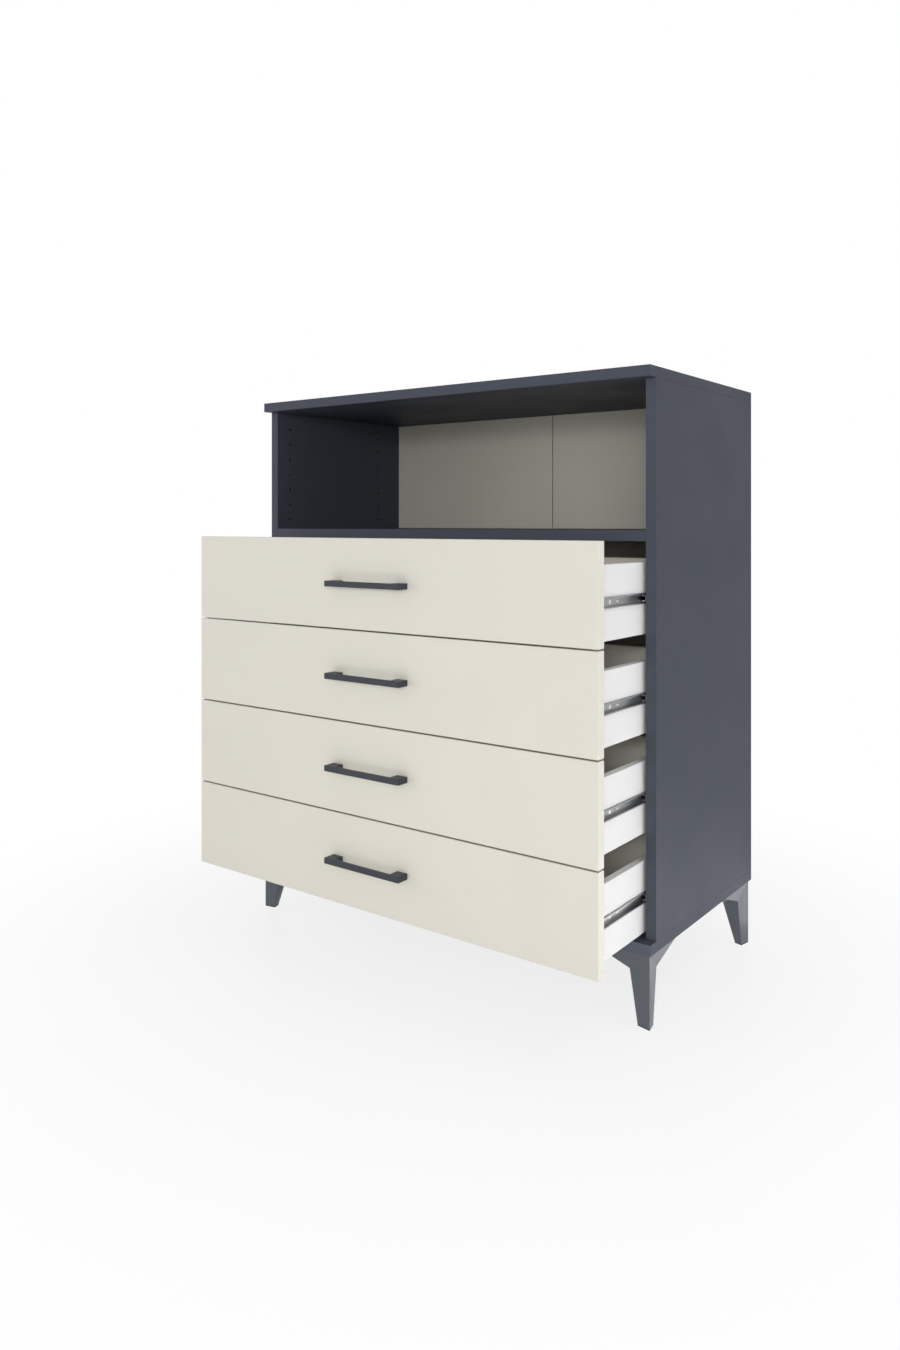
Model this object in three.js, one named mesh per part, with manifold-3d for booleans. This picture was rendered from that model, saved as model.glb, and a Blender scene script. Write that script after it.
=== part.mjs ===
// A tall commode chest: a dark carcass on four tapering legs, an open compartment at the top and four
// cream drawers below it, each on a pair of narrow ball-bearing slides let into its box sides.
// Millimetres, +Z up, the front faces -Y. The origin is on the floor, under the middle of the whole
// chest as it stands with its drawers drawn out.
import * as THREE from "three";
import { ConvexGeometry } from "three/addons/geometries/ConvexGeometry.js";
import { mergeVertices } from "three/addons/utils/BufferGeometryUtils.js";
import Module from "manifold-3d";

const wasm = await Module();
wasm.setup();

// Carcass
const cabinetWidth = 886;
const sideDepth = 419.5;
const panelThickness = 18;
const frontOverhang = 21.5;
const openClearHeight = 245.4;
const panelEdge = 0.1;
const jointGap = 0.2;

// Back boards, slid into a groove near the rear edge and taped together behind their seam
const backThickness = 3;
const backInset = 16;
const backGrooveDepth = 8;
const boardPlay = 0.3;
const seamFromLeft = 452;
const seamGap = 1.6;
const seamStripWidth = 30;
const seamStripThickness = 1;

// Shelf-pin holes, in two columns on the inner face of each side panel
const pinPitch = 32;
const pinCount = 7;
const pinDiameter = 5;
const pinDepth = 11;
const pinFromFront = 36;
const pinColumnSpacing = 288;
const pinFromTop = 52;

// Drawers
const drawerCount = 4;
const drawerPull = 169;
const slideTravel = 260;
const closedGap = 2;
const frontThickness = 18;
const frontHeight = 158.5;
const frontGap = 2.5;
const shelfCover = 3.4;
const frontSideGap = 1.3;
const frontEdge = 0.8;
const boxSideThickness = 12.8;
const boxSideHeight = 116.5;
const boxDepth = 360;
const boxLift = 5;
const boxEdge = 0.6;
const boxClearance = 5.4;
const boxBottomThickness = 3;
const boxBottomLift = 11;
const boxGrooveDepth = 5;

// Handles
const handleLength = 168;
const handleHeight = 10.2;
const handleProjection = 24.5;
const handleBarDepth = 5.4;
const handleFootWidth = 22;
const handleEdge = 0.5;
const screwDiameter = 4;
const screwHeadDiameter = 8.4;
const screwHeadHeight = 2.6;
const screwHolePlay = 0.5;

// Ball-bearing slides
const slideLength = 350;
const slideSheet = 1.2;
const slideThickness = 10;
const channelHeight = 17;
const channelDepth = 8;
const channelLip = 0.6;
const lipWidth = 1;
const channelGroovePlay = 0.3;
const channelFrontInset = 1;
const railHeight = 9.5;
const railDepth = 7.4;
const railLip = 0.6;
const railFrontInset = 1;
const slideStopLength = 1.2;
const slideStopWidth = 1.8;
const slideStopPlay = 0.7;
const cageSheet = 0.6;
const cageWebPlay = 0.4;
const cageArm = 5;
const cageEndPlay = 0.4;
const ballPlay = 0.15;
const ballFromLip = 1.6;
const ballsPerRow = 4;
const ballEndInset = 8;
const slideHoleDiameter = 8;
const slideHoleFromFront = 65;
const slideSlotLength = 8;
const slideSlotHeight = 2.6;
const slideSlotFromHole = 24;
const railHoleDiameter = 4.6;
const railHoleFromFront = 36;
const railHoleSpacing = 96;
const railHoleCount = 4;

// Legs, one casting turned for each corner: two arms along the base and a tapering post
const legHeight = 118;
const legInset = 2;
const legRearInset = 10;
const legArmLength = 110;
const legArmTip = 4;
const legArmTipWidth = 20;
const legKneeDrop = 30;
const legKneeReach = 38;
const legKneeInset = 6;
const legArmTipInset = 4;
const legFootReach = 23;
const legFootInset = 4.6;
const legFootInner = 19;

// Cuts run past the faces they open by this much, and round cuts have this many sides
const overrun = 2;
const holeSides = 12;
const ballSplits = 0;

// Sizes and places worked out from those above
const innerWidth = cabinetWidth - 2 * panelThickness;
const drawerPitch = frontHeight + frontGap;
const baseTop = legHeight + panelThickness;
const shelfTop = baseTop + drawerCount * drawerPitch - shelfCover + panelThickness;
const topUnder = shelfTop + openClearHeight;
const innerHeight = topUnder - baseTop;
const backFront = sideDepth - backInset - backThickness;
const backGrooveWidth = backThickness + 2 * boardPlay;
const boardReach = backGrooveDepth - boardPlay;
const frontWidth = cabinetWidth - 2 * frontSideGap;
const boxWidth = innerWidth - 2 * boxClearance;
const boxInnerWidth = boxWidth - 2 * boxSideThickness;
const handleFootCentre = (handleLength - handleFootWidth) / 2;
const handleFront = closedGap + drawerPull + frontThickness + jointGap + handleProjection;
const middleY = (sideDepth - handleFront) / 2;
const slideGrooveDepth = slideThickness - boxClearance;
const slideGrooveHeight = channelHeight + 2 * channelGroovePlay;
const channelInner = channelHeight / 2 - slideSheet;
const railOuter = railHeight / 2;
const raceMiddle = (channelInner + railOuter) / 2;
const ballRadius = (channelInner - railOuter) / 2 - ballPlay;
const railTip = slideThickness - railDepth;
const cageBack = slideSheet + cageWebPlay;
const memberStagger = channelFrontInset - closedGap;
const cageLength = slideLength - slideTravel + memberStagger - railFrontInset
  - 2 * slideStopLength - 2 * cageEndPlay;
const cageFrontOpen = railFrontInset + slideStopLength + cageEndPlay;
const cageFrontDrawn = cageFrontOpen + (slideTravel - drawerPull) / 2;

// Finishes
const finish = (name, color, roughness, metalness) =>
  new THREE.MeshStandardMaterial({ name, color, roughness, metalness });
const graphiteBoard = finish("graphite_board", 0x4d5159, 0.55, 0);
const creamBoard = finish("cream_board", 0xddd9cc, 0.45, 0);
const whiteBoard = finish("white_board", 0xe9e9e6, 0.5, 0);
const backBoard = finish("back_board", 0x9b968a, 0.6, 0);
const backTape = finish("back_tape", 0xc9c4b8, 0.7, 0);
const graphiteMetal = finish("graphite_metal", 0x4b5058, 0.4, 0.6);
const graphitePlastic = finish("graphite_plastic", 0x5c6168, 0.5, 0);
const zincSteel = finish("zinc_steel", 0x9a9c9d, 0.35, 0.9);
const cagePlastic = finish("cage_plastic", 0x2a2c2f, 0.5, 0);

// A closed mesh as a solid for cutting and joining, and a solid back as a mesh
function toSolid(geometry) {
  const bare = geometry.clone();
  bare.deleteAttribute("normal");
  bare.deleteAttribute("uv");
  const merged = mergeVertices(bare);
  return new wasm.Manifold(new wasm.Mesh({
    numProp: 3,
    vertProperties: merged.attributes.position.array,
    triVerts: new Uint32Array(merged.index.array),
  }));
}

function toGeometry(solid) {
  const mesh = solid.getMesh();
  const geometry = new THREE.BufferGeometry();
  geometry.setAttribute("position", new THREE.BufferAttribute(mesh.vertProperties, 3));
  geometry.setIndex(new THREE.BufferAttribute(mesh.triVerts, 1));
  const flat = geometry.toNonIndexed();
  flat.computeVertexNormals();
  return flat;
}

const cutAll = (geometry, cutters) =>
  toGeometry(cutters.reduce((left, cutter) => left.subtract(toSolid(cutter)), toSolid(geometry)));
const joinAll = (geometries) =>
  toGeometry(geometries.map(toSolid).reduce((left, right) => left.add(right)));

// A plain block about a centre
const block = (width, depth, height, x = 0, y = 0, z = 0) =>
  new THREE.BoxGeometry(width, depth, height).translate(x, y, z);

// A board about its own centre with all its edges eased
function easedBoard(width, depth, height, edge) {
  const points = [];
  const half = [width / 2, depth / 2, height / 2];
  for (const signX of [-1, 1])
    for (const signY of [-1, 1])
      for (const signZ of [-1, 1])
        for (const full of [0, 1, 2]) {
          const corner = half.map((size, axis) => (axis === full ? size : size - edge));
          points.push(new THREE.Vector3(signX * corner[0], signY * corner[1], signZ * corner[2]));
        }
  return new ConvexGeometry(points);
}

// A round bar about its own centre, along x, y or z
function roundBar(diameter, length, axis) {
  const bar = new THREE.CylinderGeometry(diameter / 2, diameter / 2, length, holeSides);
  if (axis === "x") bar.rotateZ(Math.PI / 2);
  if (axis === "z") bar.rotateX(Math.PI / 2);
  return bar;
}

// An outline in x and z, drawn along +Y from y = 0
function alongY(outline, length) {
  const shape = new THREE.Shape(outline.map(([x, z]) => new THREE.Vector2(x, -z)));
  return new THREE.ExtrudeGeometry(shape, { depth: length, bevelEnabled: false })
    .rotateX(-Math.PI / 2);
}

// An outline in x and y, drawn along +Z from z = 0
function alongZ(outline, height) {
  const shape = new THREE.Shape(outline.map(([x, y]) => new THREE.Vector2(x, y)));
  return new THREE.ExtrudeGeometry(shape, { depth: height, bevelEnabled: false });
}

function place(parent, name, geometry, material, x, y, z) {
  const mesh = new THREE.Mesh(geometry, material);
  mesh.name = name;
  mesh.position.set(x, y, z);
  parent.add(mesh);
  return mesh;
}

// The top and the base panel, alike: full width, overhanging at the front, grooved inside for the backs
function horizontalPanel(grooveSide) {
  const depth = sideDepth + frontOverhang;
  const grooveY = backFront + backThickness / 2 - (sideDepth - frontOverhang) / 2;
  const groove = block(innerWidth + 2 * backGrooveDepth, backGrooveWidth, backGrooveDepth + overrun,
    0, grooveY, grooveSide * (panelThickness + overrun - backGrooveDepth) / 2);
  return cutAll(easedBoard(cabinetWidth, depth, panelThickness, panelEdge), [groove]);
}

// A side panel with its inner face at x = 0, its front edge at y = 0 and its foot at z = 0
function sidePanel(outward) {
  const height = innerHeight - 2 * jointGap;
  const outline = [
    [0, panelEdge],
    [0, sideDepth],
    [outward * panelThickness, sideDepth],
    [outward * panelThickness, panelEdge],
    [outward * (panelThickness - panelEdge), 0],
    [outward * panelEdge, 0],
  ];
  const cuts = [
    block(2 * backGrooveDepth, backGrooveWidth, height + overrun,
      0, backFront + backThickness / 2, height / 2),
  ];
  for (const column of [0, 1])
    for (let k = 0; k < pinCount; k++)
      cuts.push(roundBar(pinDiameter, 2 * pinDepth, "x").translate(0,
        pinFromFront + column * pinColumnSpacing,
        height + jointGap + panelThickness - pinFromTop - k * pinPitch));
  return cutAll(alongZ(outline, height), cuts);
}

function buildCarcass() {
  const carcass = new THREE.Group();
  const panelY = (sideDepth - frontOverhang) / 2;
  place(carcass, "top_panel", horizontalPanel(-1), graphiteBoard,
    0, panelY, topUnder + panelThickness / 2);
  place(carcass, "base_panel", horizontalPanel(1), graphiteBoard,
    0, panelY, legHeight + panelThickness / 2);
  place(carcass, "left_side_panel", sidePanel(-1), graphiteBoard,
    -innerWidth / 2, 0, baseTop + jointGap);
  place(carcass, "right_side_panel", sidePanel(1), graphiteBoard,
    innerWidth / 2, 0, baseTop + jointGap);

  const shelfDepth = backFront - boardPlay;
  place(carcass, "fixed_shelf",
    easedBoard(innerWidth - 2 * jointGap, shelfDepth, panelThickness, panelEdge), graphiteBoard,
    0, shelfDepth / 2, shelfTop - panelThickness / 2);

  // The backs reach into the grooves all round and meet at the seam, right of the middle
  const backHeight = innerHeight + 2 * boardReach;
  const backMiddleZ = baseTop + innerHeight / 2;
  const backMiddleY = backFront + backThickness / 2;
  const backEdge = innerWidth / 2 + boardReach;
  const seamX = seamFromLeft - cabinetWidth / 2;
  const leftWidth = seamX - seamGap / 2 + backEdge;
  const rightWidth = backEdge - seamX - seamGap / 2;
  place(carcass, "back_board_left", block(leftWidth, backThickness, backHeight), backBoard,
    leftWidth / 2 - backEdge, backMiddleY, backMiddleZ);
  place(carcass, "back_board_right", block(rightWidth, backThickness, backHeight), backBoard,
    backEdge - rightWidth / 2, backMiddleY, backMiddleZ);
  place(carcass, "back_seam_strip",
    block(seamStripWidth, seamStripThickness, innerHeight - 2 * boardPlay), backTape,
    seamX, backFront + backThickness + boardPlay + seamStripThickness / 2, backMiddleZ);
  return carcass;
}

// One leg, its outer corner rising from the origin, its arms along +x and +y. The post and the arms fold
// along a line from the top of that corner to each knee.
function legGeometry() {
  const height = legHeight - jointGap;
  const knee = height - legKneeDrop;
  const tip = height - legArmTip;
  const point = (x, y, z) => new THREE.Vector3(x, y, z);
  const post = [
    point(0, 0, height),
    point(legKneeInset, legKneeReach, knee),
    point(legKneeReach, legKneeInset, knee),
    point(legKneeReach, legKneeReach, knee),
    point(legKneeReach, legKneeReach, height),
    point(0, 0, 0),
    point(legFootInset, legFootReach, 0),
    point(legFootReach, legFootInset, 0),
    point(legFootInner, legFootInner, 0),
  ];
  const armAlongY = [
    point(0, 0, height),
    point(legKneeReach, legKneeInset, height),
    point(legKneeInset, legKneeReach, knee),
    point(legKneeReach, legKneeReach, knee),
    point(legKneeReach, legKneeReach, height),
    point(legArmTipInset, legArmLength, height),
    point(legArmTipInset + legArmTipWidth, legArmLength, height),
    point(legArmTipInset, legArmLength, tip),
    point(legArmTipInset + legArmTipWidth, legArmLength, tip),
  ];
  const armAlongX = armAlongY.map(({ x, y, z }) => point(y, x, z));
  return joinAll([post, armAlongY, armAlongX].map((points) => new ConvexGeometry(points)));
}

function buildLegs() {
  const legs = new THREE.Group();
  const sideX = cabinetWidth / 2 - legInset;
  const frontY = legInset - frontOverhang;
  const rearY = sideDepth - legRearInset;
  const corners = [
    ["front_left_leg", -sideX, frontY],
    ["front_right_leg", sideX, frontY],
    ["rear_right_leg", sideX, rearY],
    ["rear_left_leg", -sideX, rearY],
  ];
  corners.forEach(([name, x, y], quarterTurns) => {
    const leg = place(legs, name, legGeometry(), graphitePlastic, x, y, 0);
    leg.rotation.z = quarterTurns * Math.PI / 2;
  });
  return legs;
}

// The drawer front about its own centre: through holes for the handle screws, a groove for the bottom
function drawerFront() {
  const cuts = [-1, 1].map((side) =>
    roundBar(screwDiameter + 2 * screwHolePlay, frontThickness + overrun, "y")
      .translate(side * handleFootCentre, 0, 0));
  cuts.push(block(boxInnerWidth + 2 * boxGrooveDepth, 2 * boxGrooveDepth,
    boxBottomThickness + 2 * boardPlay, 0, frontThickness / 2,
    boxLift + boxBottomLift + boxBottomThickness / 2 - frontHeight / 2));
  return cutAll(easedBoard(frontWidth, frontThickness, frontHeight, frontEdge), cuts);
}

// A box side along +Y, its outer face at x = 0 and its lower edge at z = 0: a groove for the slide
// runs along the outer face, and one for the bottom along the inner face
function boxSide(inward) {
  const length = boxDepth - jointGap;
  const slideLow = (boxSideHeight - slideGrooveHeight) / 2;
  const slideHigh = slideLow + slideGrooveHeight;
  const bottomLow = boxBottomLift - boardPlay;
  const bottomHigh = boxBottomLift + boxBottomThickness + boardPlay;
  const inner = boxSideThickness;
  const outline = [
    [0, 0],
    [0, slideLow],
    [slideGrooveDepth, slideLow],
    [slideGrooveDepth, slideHigh],
    [0, slideHigh],
    [0, boxSideHeight - boxEdge],
    [boxEdge, boxSideHeight],
    [inner - boxEdge, boxSideHeight],
    [inner, boxSideHeight - boxEdge],
    [inner, bottomHigh],
    [inner - boxGrooveDepth, bottomHigh],
    [inner - boxGrooveDepth, bottomLow],
    [inner, bottomLow],
    [inner, 0],
  ];
  return alongY(outline.map(([x, z]) => [inward * x, z]), length);
}

// A bar handle, its back on y = 0 and its middle at the origin, with its two screws and their heads
function handleGeometry() {
  const half = handleLength / 2;
  const foot = half - handleFootWidth;
  const barBack = handleBarDepth - handleProjection;
  const outline = [
    [-half, -handleProjection],
    [half, -handleProjection],
    [half, 0],
    [foot, 0],
    [foot, barBack],
    [-foot, barBack],
    [-foot, 0],
    [-half, 0],
  ].map(([x, y]) => new THREE.Vector2(x, y));
  const bar = new THREE.ExtrudeGeometry(new THREE.Shape(outline), {
    depth: handleHeight - 2 * handleEdge,
    bevelSegments: 1,
    bevelSize: handleEdge,
    bevelOffset: -handleEdge,
    bevelThickness: handleEdge,
  }).translate(0, 0, handleEdge - handleHeight / 2);
  const headBack = frontThickness + 2 * jointGap;
  const pieces = [bar];
  for (const side of [-1, 1]) {
    pieces.push(roundBar(screwDiameter, headBack + 2 * overrun, "y")
      .translate(side * handleFootCentre, headBack / 2, 0));
    pieces.push(roundBar(screwHeadDiameter, screwHeadHeight, "y")
      .translate(side * handleFootCentre, headBack + screwHeadHeight / 2, 0));
  }
  return joinAll(pieces);
}

// The drawer's slide member: a channel with its back on x = 0, open towards +x, its middle at z = 0
function channelMember() {
  const half = channelHeight / 2;
  const lip = channelInner - channelLip;
  const outline = [
    [0, -half],
    [channelDepth, -half],
    [channelDepth, -lip],
    [channelDepth - lipWidth, -lip],
    [channelDepth - lipWidth, -channelInner],
    [slideSheet, -channelInner],
    [slideSheet, channelInner],
    [channelDepth - lipWidth, channelInner],
    [channelDepth - lipWidth, lip],
    [channelDepth, lip],
    [channelDepth, half],
    [0, half],
  ];
  const stopReach = channelInner - railOuter - slideStopPlay;
  const stops = [-1, 1].map((side) =>
    block(slideStopWidth, slideStopLength, stopReach + slideSheet / 2,
      raceStop(), slideLength - slideStopLength / 2,
      side * (channelInner + (slideSheet / 2 - stopReach) / 2)));
  const channel = joinAll([alongY(outline, slideLength), ...stops]);
  const slotMiddle = slideHoleFromFront + slideSlotFromHole;
  return cutAll(channel, [
    roundBar(slideHoleDiameter, 2 * slideSheet + overrun, "x").translate(0, slideHoleFromFront, 0),
    block(2 * slideSheet + overrun, slideSlotLength, slideSlotHeight, 0, slotMiddle, 0),
  ]);
}

// The carcass's slide member: a narrower rail inside the channel, its back on x = slideThickness
function railMember() {
  const back = slideThickness;
  const web = back - slideSheet;
  const inner = railOuter - slideSheet;
  const lip = railOuter + railLip;
  const outline = [
    [railTip, -lip],
    [railTip + lipWidth, -lip],
    [railTip + lipWidth, -railOuter],
    [back, -railOuter],
    [back, railOuter],
    [railTip + lipWidth, railOuter],
    [railTip + lipWidth, lip],
    [railTip, lip],
    [railTip, inner],
    [web, inner],
    [web, -inner],
    [railTip, -inner],
  ];
  const stopReach = channelInner - railOuter - slideStopPlay;
  const stops = [-1, 1].map((side) =>
    block(slideStopWidth, slideStopLength, stopReach + slideSheet / 2,
      raceStop(), slideStopLength / 2,
      side * (railOuter - (slideSheet / 2 - stopReach) / 2)));
  const holes = [];
  for (let k = 0; k < railHoleCount; k++)
    holes.push(roundBar(railHoleDiameter, 2 * slideSheet + overrun, "x")
      .translate(back, railHoleFromFront + k * railHoleSpacing, 0));
  return cutAll(joinAll([alongY(outline, slideLength), ...stops]), holes);
}

// Where the balls and the end stops stand between the two members' lips
function raceStop() {
  return railTip + lipWidth + ballFromLip;
}

// The cage between the members: a thin folded strip that holds the two rows of balls
function cageGeometry() {
  const arm = raceMiddle;
  const out = arm + cageSheet / 2;
  const inside = arm - cageSheet / 2;
  const front = cageBack + cageSheet;
  const reach = cageBack + cageArm;
  const outline = [
    [cageBack, -out],
    [reach, -out],
    [reach, -inside],
    [front, -inside],
    [front, inside],
    [reach, inside],
    [reach, out],
    [cageBack, out],
  ];
  const pieces = [alongY(outline, cageLength)];
  const step = (cageLength - 2 * ballEndInset) / (ballsPerRow - 1);
  for (const side of [-1, 1])
    for (let k = 0; k < ballsPerRow; k++)
      pieces.push(new THREE.IcosahedronGeometry(ballRadius, ballSplits)
        .translate(raceStop(), ballEndInset + k * step, side * arm));
  return joinAll(pieces);
}

// A slide piece is made for the right side of a drawer, and turned over for the left
function placeSlidePiece(parent, name, geometry, material, side, y, z) {
  const right = boxWidth / 2 - slideGrooveDepth;
  const turned = side > 0 ? geometry : geometry.scale(-1, 1, 1);
  if (side < 0) flipFaces(turned);
  place(parent, name, turned, material, side * right, y, z);
}

// Mirrored triangles point inwards until two of their corners are swapped
function flipFaces(geometry) {
  const places = geometry.attributes.position;
  const corner = new THREE.Vector3();
  const other = new THREE.Vector3();
  for (let first = 0; first < places.count; first += 3) {
    corner.fromBufferAttribute(places, first + 1);
    other.fromBufferAttribute(places, first + 2);
    places.setXYZ(first + 1, ...other);
    places.setXYZ(first + 2, ...corner);
  }
  geometry.computeVertexNormals();
}

// One drawer in its own frame: y = 0 on the back of its front, z = 0 on the front's lower edge
function buildDrawer(name) {
  const drawer = new THREE.Group();
  place(drawer, `${name}_front`, drawerFront(), creamBoard,
    0, -frontThickness / 2, frontHeight / 2);
  place(drawer, `${name}_handle`, handleGeometry(), graphiteMetal,
    0, -frontThickness - jointGap, frontHeight / 2);
  place(drawer, `${name}_box_left_side`, boxSide(1), whiteBoard,
    -boxWidth / 2, jointGap, boxLift);
  place(drawer, `${name}_box_right_side`, boxSide(-1), whiteBoard,
    boxWidth / 2, jointGap, boxLift);
  const bottomZ = boxLift + boxBottomLift + boxBottomThickness / 2;
  const grooveReach = boxGrooveDepth - boardPlay;
  const bottomDepth = boxDepth + grooveReach;
  place(drawer, `${name}_box_bottom`,
    block(boxInnerWidth + 2 * grooveReach, bottomDepth, boxBottomThickness), whiteBoard,
    0, bottomDepth / 2 - grooveReach, bottomZ);
  const backLow = bottomZ + boxBottomThickness / 2 + jointGap;
  const backHigh = boxLift + boxSideHeight;
  place(drawer, `${name}_box_back`,
    easedBoard(boxInnerWidth - 2 * jointGap, boxSideThickness, backHigh - backLow, boxEdge),
    whiteBoard, 0, boxDepth - boxSideThickness / 2, (backLow + backHigh) / 2);
  const slideZ = boxLift + boxSideHeight / 2;
  placeSlidePiece(drawer, `${name}_left_slide_drawer_member`, channelMember(), zincSteel,
    -1, channelFrontInset, slideZ);
  placeSlidePiece(drawer, `${name}_right_slide_drawer_member`, channelMember(), zincSteel,
    1, channelFrontInset, slideZ);
  return drawer;
}

const chest = new THREE.Group();
const cabinet = new THREE.Group();
cabinet.position.y = -middleY;
chest.add(cabinet);
cabinet.add(buildCarcass());
cabinet.add(buildLegs());

// The drawers stack up from the base panel, and drawer_1 is the top one
for (let k = 0; k < drawerCount; k++) {
  const name = `drawer_${k + 1}`;
  const low = baseTop + frontGap + (drawerCount - 1 - k) * drawerPitch;
  const slideZ = low + boxLift + boxSideHeight / 2;
  const drawer = buildDrawer(name);
  drawer.position.set(0, -closedGap - drawerPull, low);
  cabinet.add(drawer);
  for (const [label, side] of [["left", -1], ["right", 1]]) {
    placeSlidePiece(cabinet, `${name}_${label}_slide_cabinet_member`, railMember(), zincSteel,
      side, railFrontInset, slideZ);
    placeSlidePiece(cabinet, `${name}_${label}_slide_ball_cage`, cageGeometry(), cagePlastic,
      side, cageFrontDrawn, slideZ);
  }
}

export default chest;
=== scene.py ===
# A commode chest: graphite boards on four faceted legs, an open compartment, and four cream drawers
# drawn out on ball-bearing slides. Metres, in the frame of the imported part.
import math

import bmesh
import bpy
from mathutils import Matrix, Vector


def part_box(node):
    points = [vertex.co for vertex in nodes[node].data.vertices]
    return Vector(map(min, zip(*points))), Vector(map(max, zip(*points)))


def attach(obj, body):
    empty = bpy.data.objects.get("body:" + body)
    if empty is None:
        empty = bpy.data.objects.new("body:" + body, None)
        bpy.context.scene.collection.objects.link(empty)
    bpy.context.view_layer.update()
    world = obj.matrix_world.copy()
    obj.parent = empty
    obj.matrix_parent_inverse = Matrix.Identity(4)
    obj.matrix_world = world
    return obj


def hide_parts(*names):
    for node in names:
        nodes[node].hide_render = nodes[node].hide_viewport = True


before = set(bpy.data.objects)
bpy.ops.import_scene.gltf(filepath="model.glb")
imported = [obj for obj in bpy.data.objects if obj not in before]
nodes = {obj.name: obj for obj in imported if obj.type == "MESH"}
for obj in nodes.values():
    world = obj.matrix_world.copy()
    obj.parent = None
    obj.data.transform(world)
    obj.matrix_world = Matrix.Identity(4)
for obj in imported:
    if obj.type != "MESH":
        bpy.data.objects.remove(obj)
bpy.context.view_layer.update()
drawers = ["drawer_1", "drawer_2", "drawer_3", "drawer_4"]
sides = {"left": -1, "right": 1}
print("frame loaded")


# The camera stands at the photograph's viewpoint, level, with its view shifted down. Its focal length
# and its horizon are in pixels of the photograph
cameraSetup = {
    "place": (1.154, -1.6009, 0.8054),
    "turn": 36.87,
    "focalPixels": 1014.99,
    "horizonPixel": 523.49,
    "pictureHeight": 1350,
    "sensor": 36.0,
}


def makeCamera(setup):
    data = bpy.data.cameras.new("chestCamera")
    data.sensor_width = setup["sensor"]
    data.lens = setup["focalPixels"] / setup["pictureHeight"] * setup["sensor"]
    data.shift_y = setup["horizonPixel"] / setup["pictureHeight"] - 0.5
    camera = bpy.data.objects.new("chestCamera", data)
    camera.location = setup["place"]
    camera.rotation_euler = (math.radians(90), 0, math.radians(setup["turn"]))
    bpy.context.scene.collection.objects.link(camera)
    bpy.context.scene.camera = camera


makeCamera(cameraSetup)
bpy.context.scene.view_settings.view_transform = "Standard"
print("camera placed")


# Materials. A pattern's scale counts its cells to the metre, and a bump's depth is in metres
def startMaterial(name, roughness, metallic=0.0, specular=0.5):
    material = bpy.data.materials.new(name)
    material.use_nodes = True
    tree = material.node_tree
    shader = tree.nodes["Principled BSDF"]
    shader.inputs["Roughness"].default_value = roughness
    shader.inputs["Metallic"].default_value = metallic
    shader.inputs["Specular IOR Level"].default_value = specular
    return material, tree, shader


# A noise pattern on the piece's own coordinates, spread out to run from 0 to 1
def noise(tree, scale, detail=2.0, stretch=(1, 1, 1), low=0.35, high=0.65):
    place = tree.nodes.new("ShaderNodeTexCoord")
    mapping = tree.nodes.new("ShaderNodeMapping")
    mapping.inputs["Scale"].default_value = stretch
    texture = tree.nodes.new("ShaderNodeTexNoise")
    texture.inputs["Scale"].default_value = scale
    texture.inputs["Detail"].default_value = detail
    spread = tree.nodes.new("ShaderNodeMapRange")
    spread.inputs["From Min"].default_value = low
    spread.inputs["From Max"].default_value = high
    tree.links.new(place.outputs["Object"], mapping.inputs["Vector"])
    tree.links.new(mapping.outputs["Vector"], texture.inputs["Vector"])
    tree.links.new(texture.outputs["Fac"], spread.inputs["Value"])
    return spread.outputs["Result"]


# A colour mix has its factor at input 0, its colours at inputs 6 and 7, and its result at output 2
def mixColours(tree, factor, first, second, blend="MIX"):
    mix = tree.nodes.new("ShaderNodeMix")
    mix.data_type = "RGBA"
    mix.blend_type = blend
    for socket, value in ((mix.inputs[0], factor), (mix.inputs[6], first), (mix.inputs[7], second)):
        if isinstance(value, bpy.types.NodeSocket):
            tree.links.new(value, socket)
        elif isinstance(value, float):
            socket.default_value = value
        else:
            socket.default_value = (*value, 1.0)
    return mix.outputs[2]


def mathNode(tree, operation, first, second=0.0):
    node = tree.nodes.new("ShaderNodeMath")
    node.operation = operation
    for socket, value in ((node.inputs[0], first), (node.inputs[1], second)):
        if isinstance(value, bpy.types.NodeSocket):
            tree.links.new(value, socket)
        else:
            socket.default_value = value
    return node.outputs[0]


def scaled(colour, share):
    return tuple(min(1.0, channel * share) for channel in colour)


# A colour that a fine pattern carries from darker to lighter by a share
def speckled(tree, pattern, colour, share):
    return mixColours(tree, pattern, scaled(colour, 1 - share), scaled(colour, 1 + share))


# A tone darkened by a share where a broad pattern is low
def clouded(tree, pattern, tone, share):
    cloud = mixColours(tree, pattern, (1 - share,) * 3, (1.0, 1.0, 1.0))
    return mixColours(tree, 1.0, tone, cloud, "MULTIPLY")


# The look's roughness, shifted by the first amount where a pattern is 0 and by the second where it is 1
def varyRoughness(tree, shader, pattern, look):
    first, second = look["roughnessShift"]
    spread = tree.nodes.new("ShaderNodeMapRange")
    spread.inputs["To Min"].default_value = look["roughness"] + first
    spread.inputs["To Max"].default_value = look["roughness"] + second
    tree.links.new(pattern, spread.inputs["Value"])
    tree.links.new(spread.outputs["Result"], shader.inputs["Roughness"])


def addBump(tree, shader, height, look):
    bump = tree.nodes.new("ShaderNodeBump")
    bump.inputs["Distance"].default_value = look["bumpDepth"]
    bump.inputs["Strength"].default_value = look["bumpStrength"]
    tree.links.new(height, bump.inputs["Height"])
    tree.links.new(bump.outputs["Normal"], shader.inputs["Normal"])


def splitVector(tree, vector):
    split = tree.nodes.new("ShaderNodeSeparateXYZ")
    tree.links.new(vector, split.inputs["Vector"])
    return split.outputs


# The x, y and z of the way that a face looks
def faceNormal(tree):
    geometry = tree.nodes.new("ShaderNodeNewGeometry")
    return splitVector(tree, geometry.outputs["True Normal"])


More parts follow.
